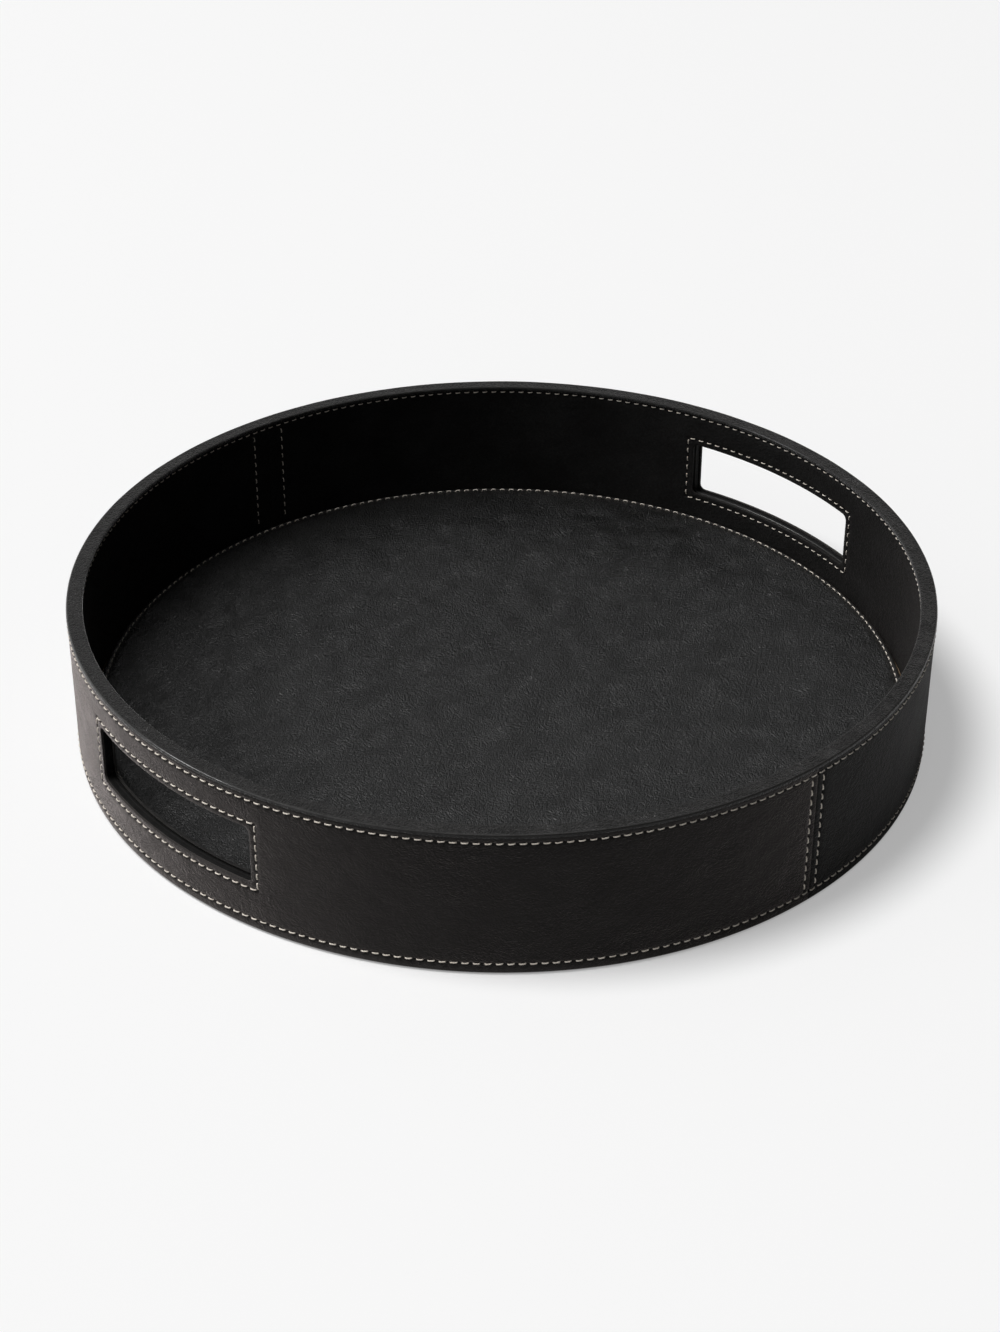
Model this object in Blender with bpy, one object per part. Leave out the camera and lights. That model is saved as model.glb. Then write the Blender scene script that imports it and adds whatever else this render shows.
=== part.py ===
"""Round serving tray: a bent hoop and a board, dressed in stitched black leather.

Metres, +Z up. The origin is at the centre of the underside, so the tray stands on Z = 0. The two
handle slots face +X (right) and -X (left), and the seams of the leather lie near +Y and -Y.
Heights are counted up from the surface that the tray stands on, and radii out from its axis.
"""

from math import cos, pi, radians, sin, sqrt

import bmesh
import bpy
from mathutils import Matrix, Vector

# Overall size, over the rolled rim
RIM_DIAMETER = 0.400
HEIGHT = 0.072

# Clearance between pieces that touch, and how far a cut runs past what it cuts
FIT = 0.0003
OVERRUN = 0.006

# Leather of the panels and of the floor, and the thinner strip that binds the rim
LEATHER = 0.0011
BINDING_LEATHER = 0.0008

# Bent plywood hoop
HOOP_THICKNESS = 0.0041
BOARD_STEP = 0.0016

# Rolled rim: overhang past the wall's two faces, height, edge radii, skin over the tongue
RIM_OVERHANG_OUTSIDE = 0.0003
RIM_OVERHANG_INSIDE = 0.0005
RIM_HEAD = 0.0017
RIM_ROUND = 0.0010
RIM_UNDERCUT = 0.0004
RIM_SKIN = 0.0013
LEG_MARGIN = 0.0032

# Underside: leather turned under the board, its rounded foot, and the felt disc let in between
COVER_THICKNESS = 0.0015
TURN_IN = 0.0180
TURN_IN_RISE = 0.0004
FOOT_ROUND = 0.0015
BOARD_THICKNESS = 0.0060

# Floor insert: a stiffener with leather drawn over its edge and turned under
STIFFENER_THICKNESS = 0.0024
FLOOR_GAP = 0.0012
FLOOR_ROUND = 0.0034
FLOOR_TURN_IN = 0.0120

# Handle slots: clear opening, its drop below the rim, and the strip that lines it
SLOT_LENGTH = 0.103
SLOT_HEIGHT = 0.0286
SLOT_DROP = 0.0188
SLOT_CORNER = 0.0030
LINING = 0.0010
LINING_SETBACK = 0.0004

# Sewing thread, the place of each row of stitches, and how far the floor's row pulls it down
THREAD_WIDTH = 0.0008
THREAD_HEIGHT = 0.0005
THREAD_CREST = 0.0004
RIM_ROW_DROP_OUTSIDE = 0.0044
RIM_ROW_DROP_INSIDE = 0.0030
BASE_ROW_RISE = 0.0053
FLOOR_ROW_SINK = 0.0002
FRAME_MARGIN = 0.0030
FRAME_CORNER = 0.0012
SEAM_ROW_OFFSET_OUTSIDE = 0.0034
SEAM_ROW_OFFSET_INSIDE = 0.0083
ROW_END_GAP = 0.0014

# Where the seams lie, as turns from the axes square to the handles
OUTER_SEAM_TURN = radians(-2)
INNER_SEAM_TURN = radians(-5)

# Facets: round the whole tray, along a slot's long side, in a slot's corners and in a profile's
# arcs, then the angle that counts as a sharp edge and how near the axis a turned point is one with it
ROUND_STEPS = 72
RUN_STEPS = 10
CORNER_STEPS = 3
ARC_STEPS = 3
SHARP_EDGE = radians(35)
AXIS_MERGE = 0.000001

# Radii of the wall, from its outer face in to the rim's inner edge
RIM_RADIUS = RIM_DIAMETER / 2
OUTER_FACE = RIM_RADIUS - RIM_OVERHANG_OUTSIDE
OUTER_BACK = OUTER_FACE - LEATHER
HOOP_OUTER = OUTER_BACK - FIT
HOOP_INNER = HOOP_OUTER - HOOP_THICKNESS
INNER_BACK = HOOP_INNER - FIT
INNER_FACE = INNER_BACK - LEATHER
RIM_INNER = INNER_FACE - RIM_OVERHANG_INSIDE
TONGUE_OUTER = HOOP_OUTER - BINDING_LEATHER - FIT
TONGUE_INNER = HOOP_INNER + BINDING_LEATHER + FIT
HOOP_SEAT = HOOP_INNER + BOARD_STEP

# Radii of the base and the floor
TURN_IN_EDGE = OUTER_FACE - TURN_IN
COVER_RADIUS = TURN_IN_EDGE - FIT
BOARD_RADIUS = HOOP_SEAT - FIT
FLOOR_EDGE = INNER_FACE - FLOOR_GAP
STIFFENER_RADIUS = FLOOR_EDGE - LEATHER - FIT
FLOOR_LIP_EDGE = FLOOR_EDGE - FLOOR_TURN_IN
FLOOR_ROW_RADIUS = FLOOR_EDGE - FLOOR_ROUND
SERVING_RADIUS = FLOOR_ROW_RADIUS - ROW_END_GAP

# Heights of the base and the floor, from the underside up
FOOT = TURN_IN_RISE + LEATHER + FIT
BOARD_TOP = FOOT + BOARD_THICKNESS
FLOOR_LIP_UNDER = BOARD_TOP + FIT
STIFFENER_UNDER = FLOOR_LIP_UNDER + LEATHER + FIT
STIFFENER_TOP = STIFFENER_UNDER + STIFFENER_THICKNESS
FLOOR_TOP = STIFFENER_TOP + FIT + LEATHER
FLOOR_ROW_HEIGHT = FLOOR_TOP - FLOOR_ROW_SINK

# Heights at the rim, and of the slots and the rows of stitches
RIM_SEAT = HEIGHT - RIM_HEAD
PANEL_TOP = RIM_SEAT - FIT
TONGUE_TOP = HEIGHT - RIM_SKIN - FIT
RIM_ROW_OUTSIDE = HEIGHT - RIM_ROW_DROP_OUTSIDE
RIM_ROW_INSIDE = HEIGHT - RIM_ROW_DROP_INSIDE
LEG_FOOT = RIM_ROW_OUTSIDE - LEG_MARGIN
BASE_ROW = TURN_IN_RISE + BASE_ROW_RISE
SLOT_CENTRE = HEIGHT - SLOT_DROP - SLOT_HEIGHT / 2

QUARTER = pi / 2
HALF = pi


def clear_scene():
    for obj in list(bpy.data.objects):
        bpy.data.objects.remove(obj, do_unlink=True)


def make_material(name, colour, roughness):
    material = bpy.data.materials.new(name)
    material.use_nodes = True
    shader = material.node_tree.nodes["Principled BSDF"]
    shader.inputs["Base Color"].default_value = (*colour, 1.0)
    shader.inputs["Roughness"].default_value = roughness
    shader.inputs["Metallic"].default_value = 0.0
    material.diffuse_color = (*colour, 1.0)
    return material


def mesh_from(name, bm):
    """Close the bmesh into a mesh whose faces point out and whose round sides are smooth."""
    bmesh.ops.recalc_face_normals(bm, faces=bm.faces)
    mesh = bpy.data.meshes.new(name)
    bm.to_mesh(mesh)
    bm.free()
    mesh.shade_smooth()
    mesh.set_sharp_from_angle(angle=SHARP_EDGE)
    return mesh


def place(name, mesh, material, parent, turn=0.0):
    """Put a mesh on the tray as one named piece, turned about the tray's axis."""
    if not mesh.materials:
        mesh.materials.append(material)
    obj = bpy.data.objects.new(name, mesh)
    obj.parent = parent
    obj.rotation_euler.z = turn
    bpy.context.collection.objects.link(obj)
    return obj


def arc(centre, radius, start, end):
    """Points of a profile's arc, both ends included. Angles run from the outward radius to +Z."""
    points = []
    for step in range(ARC_STEPS + 1):
        angle = start + (end - start) * step / ARC_STEPS
        points.append((centre[0] + radius * cos(angle), centre[1] + radius * sin(angle)))
    return points


def spun(name, profile, start=0.0, sweep=2 * pi):
    """Turn a profile of (radius, height) points about the tray's axis.

    A profile that starts and ends on the axis makes a disc. Any other is a closed section, and a
    sweep short of the full turn is capped at both ends.
    """
    bm = bmesh.new()
    verts = [bm.verts.new((radius, 0.0, height)) for radius, height in profile]
    on_axis = profile[0][0] == 0.0
    edges = [bm.edges.new(pair) for pair in zip(verts, verts[1:])]
    if not on_axis:
        edges.append(bm.edges.new((verts[-1], verts[0])))
    bmesh.ops.rotate(bm, verts=verts, matrix=Matrix.Rotation(start, 3, "Z"))
    whole = sweep >= 2 * pi
    steps = ROUND_STEPS if whole else ROUND_STEPS // 2
    result = bmesh.ops.spin(
        bm, geom=verts + edges, axis=(0, 0, 1), cent=(0, 0, 0), angle=sweep, steps=steps, use_merge=whole
    )
    if not whole:
        last = [item for item in result["geom_last"] if isinstance(item, bmesh.types.BMVert)]
        bm.faces.new(verts)
        bm.faces.new(last)
    if on_axis:
        axis_verts = [vert for vert in bm.verts if vert.co.xy.length < AXIS_MERGE]
        bmesh.ops.remove_doubles(bm, verts=axis_verts, dist=AXIS_MERGE)
    return mesh_from(name, bm)


def lofted(name, rings, round_again):
    """Skin a chain of rings with equal numbers of points, closed on itself or capped at the ends."""
    bm = bmesh.new()
    loops = [[bm.verts.new(point) for point in ring] for ring in rings]
    count = len(loops[0])
    pairs = list(zip(loops, loops[1:]))
    if round_again:
        pairs.append((loops[-1], loops[0]))
    for first, second in pairs:
        for i in range(count):
            j = (i + 1) % count
            bm.faces.new((first[i], first[j], second[j], second[i]))
    if not round_again:
        bm.faces.new(loops[0])
        bm.faces.new(loops[-1])
    return mesh_from(name, bm)


def slot_outline(growth, corner, corner_steps, run_steps):
    """Rounded rectangle of the handle slot, grown all round, as (sideways, height) points."""
    half_length = SLOT_LENGTH / 2 + growth
    half_height = SLOT_HEIGHT / 2 + growth
    quarters = ((1, 1, 0.0), (-1, 1, QUARTER), (-1, -1, 2 * QUARTER), (1, -1, 3 * QUARTER))
    points = []
    for sideways, upward, start in quarters:
        centre_y = sideways * (half_length - corner)
        centre_z = SLOT_CENTRE + upward * (half_height - corner)
        for step in range(corner_steps + 1):
            angle = start + QUARTER * step / corner_steps
            points.append((centre_y + corner * cos(angle), centre_z + corner * sin(angle)))
        if sideways == upward:
            # The long side that leaves this corner follows the wall's curve in short runs.
            reach = 2 * (half_length - corner)
            for step in range(1, run_steps):
                points.append((centre_y - sideways * reach * step / run_steps, points[-1][1]))
    return points


def on_wall(outline, radius):
    """Wrap (sideways, height) points on to the wall at this radius, on the +X side."""
    return [Vector((sqrt(radius**2 - y**2), y, z)) for y, z in outline]


def slot_cutter(name, growth, parent, turn):
    """Bar with the slot's outline that runs through the wall and past both faces of it."""
    bm = bmesh.new()
    start = sqrt(RIM_INNER**2 - (SLOT_LENGTH / 2 + growth) ** 2) - OVERRUN
    outline = slot_outline(growth, SLOT_CORNER + growth, CORNER_STEPS, 1)
    face = bm.faces.new([bm.verts.new((start, y, z)) for y, z in outline])
    swept = bmesh.ops.extrude_face_region(bm, geom=[face])
    moved = [item for item in swept["geom"] if isinstance(item, bmesh.types.BMVert)]
    bmesh.ops.translate(bm, verts=moved, vec=(RIM_RADIUS + OVERRUN - start, 0, 0))
    bmesh.ops.recalc_face_normals(bm, faces=bm.faces)
    mesh = bpy.data.meshes.new(name)
    bm.to_mesh(mesh)
    bm.free()
    cutter = bpy.data.objects.new(name, mesh)
    cutter.parent = parent
    cutter.rotation_euler.z = turn
    cutter.hide_render = True
    cutter.display_type = "WIRE"
    bpy.context.collection.objects.link(cutter)
    return cutter


def cut(obj, cutter):
    modifier = obj.modifiers.new("slot_" + cutter.name, "BOOLEAN")
    modifier.operation = "DIFFERENCE"
    modifier.solver = "EXACT"
    modifier.object = cutter


def thread_rings(path, normals, closed):
    """Flattened thread along a path: a section at each point, its flat side FIT off the leather."""
    rings = []
    count = len(path)
    for i, (point, normal) in enumerate(zip(path, normals)):
        before = path[i - 1] if closed or i else point
        after = path[(i + 1) % count] if closed or i + 1 < count else point
        across = (after - before).normalized().cross(normal).normalized()
        foot = point + normal * FIT
        crest = foot + normal * THREAD_HEIGHT
        side = across * (THREAD_WIDTH / 2)
        brow = across * (THREAD_CREST / 2)
        rings.append([foot - side, foot + side, crest + brow, crest - brow])
    return rings


def outward(point):
    return Vector((point.x, point.y, 0)).normalized()


def round_row(name, radius, height, normal_of):
    """Row of stitches all round the tray. normal_of gives the leather's normal at a point."""
    angles = [2 * pi * step / ROUND_STEPS for step in range(ROUND_STEPS)]
    path = [Vector((radius * cos(angle), radius * sin(angle), height)) for angle in angles]
    return lofted(name, thread_rings(path, [normal_of(point) for point in path], True), True)


def frame_row(name, radius, side):
    """Row of stitches round a handle slot, on the wall's outer (side 1) or inner (side -1) face."""
    path = on_wall(slot_outline(FRAME_MARGIN, FRAME_CORNER, 1, RUN_STEPS), radius)
    normals = [outward(point) * side for point in path]
    return lofted(name, thread_rings(path, normals, True), True)


def seam_row(name, radius, side, offset, low, high):
    """Upright row beside a seam at azimuth 0: offset is its distance from the seam."""
    angle = offset / radius
    foot = Vector((radius * cos(angle), radius * sin(angle), low))
    path = [foot, Vector((foot.x, foot.y, high))]
    return lofted(name, thread_rings(path, [outward(foot) * side] * 2, False), False)


def underside_cover():
    """Felt disc that the tray stands on, let in within the turned-in leather."""
    profile = [(0, 0), (COVER_RADIUS, 0), (COVER_RADIUS, COVER_THICKNESS), (0, COVER_THICKNESS)]
    return spun("underside_cover", profile)


def base_board():
    profile = [(0, FOOT), (BOARD_RADIUS, FOOT), (BOARD_RADIUS, BOARD_TOP), (0, BOARD_TOP)]
    return spun("base_board", profile)


def wall_hoop():
    """Hoop with a step that takes the board, and a tongue that the rim straddles."""
    profile = [
        (HOOP_SEAT, FOOT),
        (HOOP_OUTER, FOOT),
        (HOOP_OUTER, LEG_FOOT - FIT),
        (TONGUE_OUTER, LEG_FOOT - FIT),
        (TONGUE_OUTER, TONGUE_TOP),
        (TONGUE_INNER, TONGUE_TOP),
        (TONGUE_INNER, LEG_FOOT - FIT),
        (HOOP_INNER, LEG_FOOT - FIT),
        (HOOP_INNER, BOARD_TOP + FIT),
        (HOOP_SEAT, BOARD_TOP + FIT),
    ]
    return spun("wall_hoop", profile)


def outer_panel():
    """Half of the outer leather, drawn round the foot of the wall and turned under the board."""
    foot_centre = (OUTER_FACE - FOOT_ROUND, TURN_IN_RISE + FOOT_ROUND)
    profile = [
        (OUTER_FACE, PANEL_TOP),
        *arc(foot_centre, FOOT_ROUND, 0, -QUARTER),
        (TURN_IN_EDGE, TURN_IN_RISE),
        (TURN_IN_EDGE, TURN_IN_RISE + LEATHER),
        *arc(foot_centre, FOOT_ROUND - LEATHER, -QUARTER, 0),
        (OUTER_BACK, PANEL_TOP),
    ]
    half_gap = FIT / 2 / OUTER_FACE
    start = OUTER_SEAM_TURN - QUARTER + half_gap
    return spun("outer_panel", profile, start, HALF - 2 * half_gap)


def inner_panel():
    """Half of the leather that lines the wall, standing on the board behind the floor insert."""
    low = BOARD_TOP + FIT
    profile = [(INNER_BACK, low), (INNER_BACK, PANEL_TOP), (INNER_FACE, PANEL_TOP), (INNER_FACE, low)]
    half_gap = FIT / 2 / INNER_FACE
    start = INNER_SEAM_TURN - QUARTER + half_gap
    return spun("inner_panel", profile, start, HALF - 2 * half_gap)


def rim_binding():
    """Leather strip rolled over the hoop's tongue, its two legs sewn in behind the panels."""
    shoulder = HEIGHT - RIM_ROUND
    profile = [
        (HOOP_OUTER, LEG_FOOT),
        (HOOP_OUTER, RIM_SEAT),
        (RIM_RADIUS - RIM_UNDERCUT, RIM_SEAT),
        (RIM_RADIUS, RIM_SEAT + RIM_UNDERCUT),
        *arc((RIM_RADIUS - RIM_ROUND, shoulder), RIM_ROUND, 0, QUARTER),
        *arc((RIM_INNER + RIM_ROUND, shoulder), RIM_ROUND, QUARTER, 2 * QUARTER),
        (RIM_INNER, RIM_SEAT),
        (HOOP_INNER, RIM_SEAT),
        (HOOP_INNER, LEG_FOOT),
        (HOOP_INNER + BINDING_LEATHER, LEG_FOOT),
        (HOOP_INNER + BINDING_LEATHER, TONGUE_TOP + FIT),
        (HOOP_OUTER - BINDING_LEATHER, TONGUE_TOP + FIT),
        (HOOP_OUTER - BINDING_LEATHER, LEG_FOOT),
    ]
    return spun("rim_binding", profile)


def handle_lining():
    """Strip of leather round the inside of a handle slot, between the two panels."""
    back = LINING_SETBACK + LINING
    near = slot_outline(LINING_SETBACK, SLOT_CORNER + LINING_SETBACK, CORNER_STEPS, RUN_STEPS)
    far = slot_outline(back, SLOT_CORNER + back, CORNER_STEPS, RUN_STEPS)
    rings = [
        on_wall(near, HOOP_INNER),
        on_wall(near, HOOP_OUTER),
        on_wall(far, HOOP_OUTER),
        on_wall(far, HOOP_INNER),
    ]
    return lofted("handle_lining", rings, True)


def floor_stiffener():
    """Disc under the floor leather, its upper edge eased to the leather's own curve."""
    centre = (FLOOR_ROW_RADIUS, FLOOR_ROW_HEIGHT - FLOOR_ROUND)
    ease = FLOOR_ROUND - LEATHER - FIT
    profile = [
        (0, STIFFENER_UNDER),
        (STIFFENER_RADIUS, STIFFENER_UNDER),
        *arc(centre, ease, 0, QUARTER),
        (SERVING_RADIUS, STIFFENER_TOP),
        (0, STIFFENER_TOP),
    ]
    return spun("floor_stiffener", profile)


def floor_panel():
    """Floor leather, drawn over the stiffener's rounded edge and turned in below it.

    The flat face where things are set down ends short of the row of stitches, which pulls the
    leather down a little before it rolls over the edge.
    """
    centre = (FLOOR_ROW_RADIUS, FLOOR_ROW_HEIGHT - FLOOR_ROUND)
    skin = FLOOR_EDGE - LEATHER
    profile = [
        (0, FLOOR_TOP),
        (SERVING_RADIUS, FLOOR_TOP),
        *arc(centre, FLOOR_ROUND, QUARTER, 0),
        (FLOOR_EDGE, FLOOR_LIP_UNDER),
        (FLOOR_LIP_EDGE, FLOOR_LIP_UNDER),
        (FLOOR_LIP_EDGE, FLOOR_LIP_UNDER + LEATHER),
        (skin, FLOOR_LIP_UNDER + LEATHER),
        *arc(centre, FLOOR_ROUND - LEATHER, 0, QUARTER),
        (SERVING_RADIUS, FLOOR_TOP - LEATHER),
        (0, FLOOR_TOP - LEATHER),
    ]
    return spun("floor_panel", profile)


def build_structure(parent, finishes):
    wood = finishes["wood"]
    card = finishes["card"]
    felt = finishes["felt"]
    leather = finishes["leather"]
    rim_leather = finishes["rim_leather"]

    place("underside_cover", underside_cover(), felt, parent)
    place("base_board", base_board(), wood, parent)
    place("floor_stiffener", floor_stiffener(), card, parent)
    place("floor_panel", floor_panel(), leather, parent)
    place("rim_binding", rim_binding(), rim_leather, parent)
    hoop = place("wall_hoop", wall_hoop(), wood, parent)

    outer_mesh = outer_panel()
    inner_mesh = inner_panel()
    lining_mesh = handle_lining()
    lining_growth = LINING_SETBACK + LINING + FIT
    for side, turn in (("right", 0.0), ("left", HALF)):
        opening = slot_cutter("opening_cutter_" + side, 0.0, parent, turn)
        seat = slot_cutter("lining_cutter_" + side, lining_growth, parent, turn)
        outer = place("outer_panel_" + side, outer_mesh, leather, parent, turn)
        inner = place("inner_panel_" + side, inner_mesh, leather, parent, turn)
        place("handle_lining_" + side, lining_mesh, rim_leather, parent, turn)
        cut(outer, opening)
        cut(inner, opening)
        cut(hoop, seat)


def build_threads(parent, thread):
    outside = round_row("rim_thread_outer", OUTER_FACE, RIM_ROW_OUTSIDE, outward)
    inside = round_row("rim_thread_inner", INNER_FACE, RIM_ROW_INSIDE, lambda point: -outward(point))
    base = round_row("base_thread", OUTER_FACE, BASE_ROW, outward)
    floor = round_row(
        "floor_thread", FLOOR_ROW_RADIUS, FLOOR_ROW_HEIGHT, lambda point: Vector((0, 0, 1))
    )
    for mesh in (outside, inside, base, floor):
        place(mesh.name, mesh, thread, parent)

    outer_frame = frame_row("handle_thread_outer", OUTER_FACE, 1)
    inner_frame = frame_row("handle_thread_inner", INNER_FACE, -1)
    for side, turn in (("right", 0.0), ("left", HALF)):
        place("handle_thread_outer_" + side, outer_frame, thread, parent, turn)
        place("handle_thread_inner_" + side, inner_frame, thread, parent, turn)

    outer_span = (BASE_ROW + ROW_END_GAP, RIM_ROW_OUTSIDE - ROW_END_GAP)
    inner_span = (FLOOR_TOP + ROW_END_GAP, RIM_ROW_INSIDE - ROW_END_GAP)
    for hand, sign in (("a", -1), ("b", 1)):
        offset = sign * SEAM_ROW_OFFSET_OUTSIDE
        outer_row = seam_row("seam_thread_outer_" + hand, OUTER_FACE, 1, offset, *outer_span)
        offset = sign * SEAM_ROW_OFFSET_INSIDE
        inner_row = seam_row("seam_thread_inner_" + hand, INNER_FACE, -1, offset, *inner_span)
        for end, turn in (("front", -QUARTER), ("back", QUARTER)):
            place(f"seam_thread_outer_{end}_{hand}", outer_row, thread, parent, OUTER_SEAM_TURN + turn)
            place(f"seam_thread_inner_{end}_{hand}", inner_row, thread, parent, INNER_SEAM_TURN + turn)


def main():
    clear_scene()
    finishes = {
        "leather": make_material("black_leather", (0.013, 0.013, 0.013), 0.52),
        "rim_leather": make_material("rim_leather", (0.021, 0.021, 0.021), 0.46),
        "felt": make_material("black_felt", (0.010, 0.010, 0.011), 0.95),
        "wood": make_material("bent_plywood", (0.45, 0.31, 0.18), 0.70),
        "card": make_material("grey_card", (0.25, 0.24, 0.22), 0.85),
        "thread": make_material("linen_thread", (0.55, 0.46, 0.34), 0.60),
    }
    tray = bpy.data.objects.new("tray", None)
    bpy.context.collection.objects.link(tray)
    build_structure(tray, finishes)
    build_threads(tray, finishes["thread"])


main()
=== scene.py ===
"""Round serving tray dressed in stitched black leather, with its stage, lights and camera.

Metres, +Z up, in the part's own frame: the tray stands on Z = 0 round the Z axis, its handle slots
face +X and -X, and the leather's seams lie near +Y and -Y. Heights are counted up from the floor
that the tray stands on, radii out from its axis, and azimuths from +X towards +Y.
"""

from functools import partial
from math import cos, pi, radians, sin, sqrt, tau
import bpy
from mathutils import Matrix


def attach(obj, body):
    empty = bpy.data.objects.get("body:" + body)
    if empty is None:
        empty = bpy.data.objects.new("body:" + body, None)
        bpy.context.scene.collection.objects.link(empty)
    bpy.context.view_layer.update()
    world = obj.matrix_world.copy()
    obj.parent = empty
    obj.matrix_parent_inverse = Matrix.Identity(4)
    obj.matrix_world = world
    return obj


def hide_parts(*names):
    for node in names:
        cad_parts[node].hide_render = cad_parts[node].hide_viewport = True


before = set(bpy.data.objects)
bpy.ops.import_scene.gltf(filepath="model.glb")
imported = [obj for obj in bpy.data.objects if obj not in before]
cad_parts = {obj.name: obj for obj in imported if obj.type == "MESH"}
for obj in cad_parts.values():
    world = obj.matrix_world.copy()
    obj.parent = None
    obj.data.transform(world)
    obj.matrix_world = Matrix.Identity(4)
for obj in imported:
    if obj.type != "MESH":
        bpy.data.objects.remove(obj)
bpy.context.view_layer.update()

from types import SimpleNamespace

import bmesh
import bpy
import numpy as np
from mathutils import Matrix, Vector, noise

MM = 0.001

# Wall, from its outer face in to the rim's inner edge
RIM_RADIUS = 200.0 * MM
OUTER_FACE = 199.7 * MM
HOOP_OUTER = 198.3 * MM
HOOP_INNER = 194.2 * MM
INNER_FACE = 192.8 * MM
RIM_INNER = 192.3 * MM
LEATHER = 1.1 * MM
BINDING_LEATHER = 0.8 * MM
SEAM_GAP = 0.3 * MM

# Heights
HEIGHT = 72.0 * MM
RIM_SEAT = 70.3 * MM
PANEL_TOP = 70.2 * MM
LEG_FOOT = 64.4 * MM
TONGUE_CREST = 70.7 * MM
FLOOR_TOP = 13.3 * MM
FLOOR_LIP_UNDER = 8.1 * MM
TURN_IN_RISE = 0.4 * MM

# Rim
RIM_UNDERCUT = 0.2 * MM
RIM_CORNER = 0.9 * MM
RIM_HOLLOW = 0.05 * MM
RIM_LINE = 0.5 * MM
# How polished the rim's corners are: the wax there, and a lighter colour that is partly a painted
# highlight line.
OUTER_CORNER_POLISH = 0.9
INNER_CORNER_POLISH = 0.32

# Base and floor
FOOT_ROUND = 1.5 * MM
TURN_IN_EDGE = 181.7 * MM
COVER_RADIUS = 181.4 * MM
COVER_THICKNESS = 1.5 * MM
COVER_ROUND = 0.4 * MM
FLOOR_EDGE = 191.6 * MM
FLOOR_ROUND = 3.4 * MM
FLOOR_ROW_SINK = 0.2 * MM
SERVING_RADIUS = 186.8 * MM
FLOOR_LIP_EDGE = 179.6 * MM

# Handle slots
SLOT_HALF_LENGTH = 51.5 * MM
SLOT_HALF_HEIGHT = 14.3 * MM
SLOT_CENTRE = 38.9 * MM
SLOT_CORNER = 3.0 * MM
LINING = 1.0 * MM
LINING_SETBACK = 0.4 * MM
LINING_SWELL = 0.7 * MM

# Section of a slot's lining, from the inner face out: shares of its width and how far each lies back
FOLD_SHARE = 0.36
FOLD_LINE = 0.07
LINING_SECTION = (
    (0.00, 1.00),
    (0.05, 0.86),
    (0.16, 0.82),
    (0.285, 0.88),
    (0.296, 0.81),
    (0.313, 0.53),
    (0.346, 0.30),
    (0.390, 0.15),
    (0.44, 0.10),
    (0.52, 0.07),
    (0.70, 0.05),
    (0.90, 0.07),
    (0.96, 0.20),
    (1.00, 0.50),
)

# Rows of stitches
RIM_ROW_OUTSIDE = 67.6 * MM
RIM_ROW_INSIDE = 69.0 * MM
BASE_ROW = 5.7 * MM
FLOOR_ROW_RADIUS = FLOOR_EDGE - FLOOR_ROUND
FLOOR_ROW_HEIGHT = FLOOR_TOP - FLOOR_ROW_SINK
FRAME_MARGIN = 3.0 * MM
FRAME_HALF_LENGTH = SLOT_HALF_LENGTH + FRAME_MARGIN
FRAME_HALF_HEIGHT = SLOT_HALF_HEIGHT + FRAME_MARGIN
ROW_END_GAP = 1.4 * MM
FLOOR_STITCHES = 248
FRAME_STITCHES_LONG = 23
FRAME_STITCHES_SHORT = 7

# Marks that the thread leaves in the leather
STITCH_PITCH = 4.76 * MM
GROOVE_DEPTH = 0.22 * MM
GROOVE_WIDTH = 0.85 * MM
PIT_DEPTH = 0.45 * MM
PIT_WIDTH = 0.55 * MM
PIT_LENGTH = 0.80 * MM
EDGE_DROP = 0.18 * MM
EDGE_ROLL = 1.5 * MM
EDGE_BEVEL = 0.35 * MM

# How far the polish of hands and of use reaches from the edges of the wall's leather; the lighter
# colour it brings is partly a painted highlight
SLOT_POLISH = 1.6 * MM
SLOT_LINE = 0.3 * MM
FOOT_POLISH = 2.2 * MM
TOP_POLISH = 1.2 * MM

# Slow waves of hand-laid leather: how high and how long they are, and where their noise starts
LEATHER_WAVE = 0.10 * MM
WAVE_LENGTH = 34.0 * MM
RIM_WAVE = 0.06 * MM
RIM_WAVE_LENGTH = 22.0 * MM
RIM_WAVE_SEED = 11.1
FLOOR_WAVE = 0.14 * MM
FLOOR_WAVE_LENGTH = 48.0 * MM
FLOOR_WAVE_SEED = 5.9

# The two sides of the wall. seam is the azimuth at which the right half starts, low the height at
# which the upright leather ends, and seam_rows how far off a seam its rows lie, where they start
# and end and how many stitches they have. stitch is the length, width and height of a stitch.
OUTSIDE = SimpleNamespace(
    face="outer",
    side=1,
    radius=OUTER_FACE,
    seam=radians(-92),
    low=TURN_IN_RISE + FOOT_ROUND,
    rows=(RIM_ROW_OUTSIDE, BASE_ROW),
    row_stitches=264,
    seam_rows=(3.4 * MM, BASE_ROW + ROW_END_GAP, RIM_ROW_OUTSIDE - ROW_END_GAP, 12),
    stitch=(2.55 * MM, 0.78 * MM, 0.62 * MM),
    wave_seed=3.7,
)
INSIDE = SimpleNamespace(
    face="inner",
    side=-1,
    radius=INNER_FACE,
    seam=radians(-95),
    low=FLOOR_LIP_UNDER,
    rows=(RIM_ROW_INSIDE,),
    row_stitches=256,
    seam_rows=(8.3 * MM, FLOOR_TOP + ROW_END_GAP, RIM_ROW_INSIDE - ROW_END_GAP, 11),
    stitch=(2.15 * MM, 0.58 * MM, 0.48 * MM),
    wave_seed=7.3,
)
HANDS = (("right", 0.0), ("left", pi))


def bell(distance, width):
    return np.exp(-((distance / width) ** 2))


def around(azimuth, reach, height):
    """Points at these azimuths, radii and heights."""
    grids = np.broadcast_arrays(reach * np.cos(azimuth), reach * np.sin(azimuth), height)
    return np.stack(grids, -1)


def turn_points(points, turn):
    return points @ np.array(Matrix.Rotation(turn, 3, "Z")).T


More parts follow.
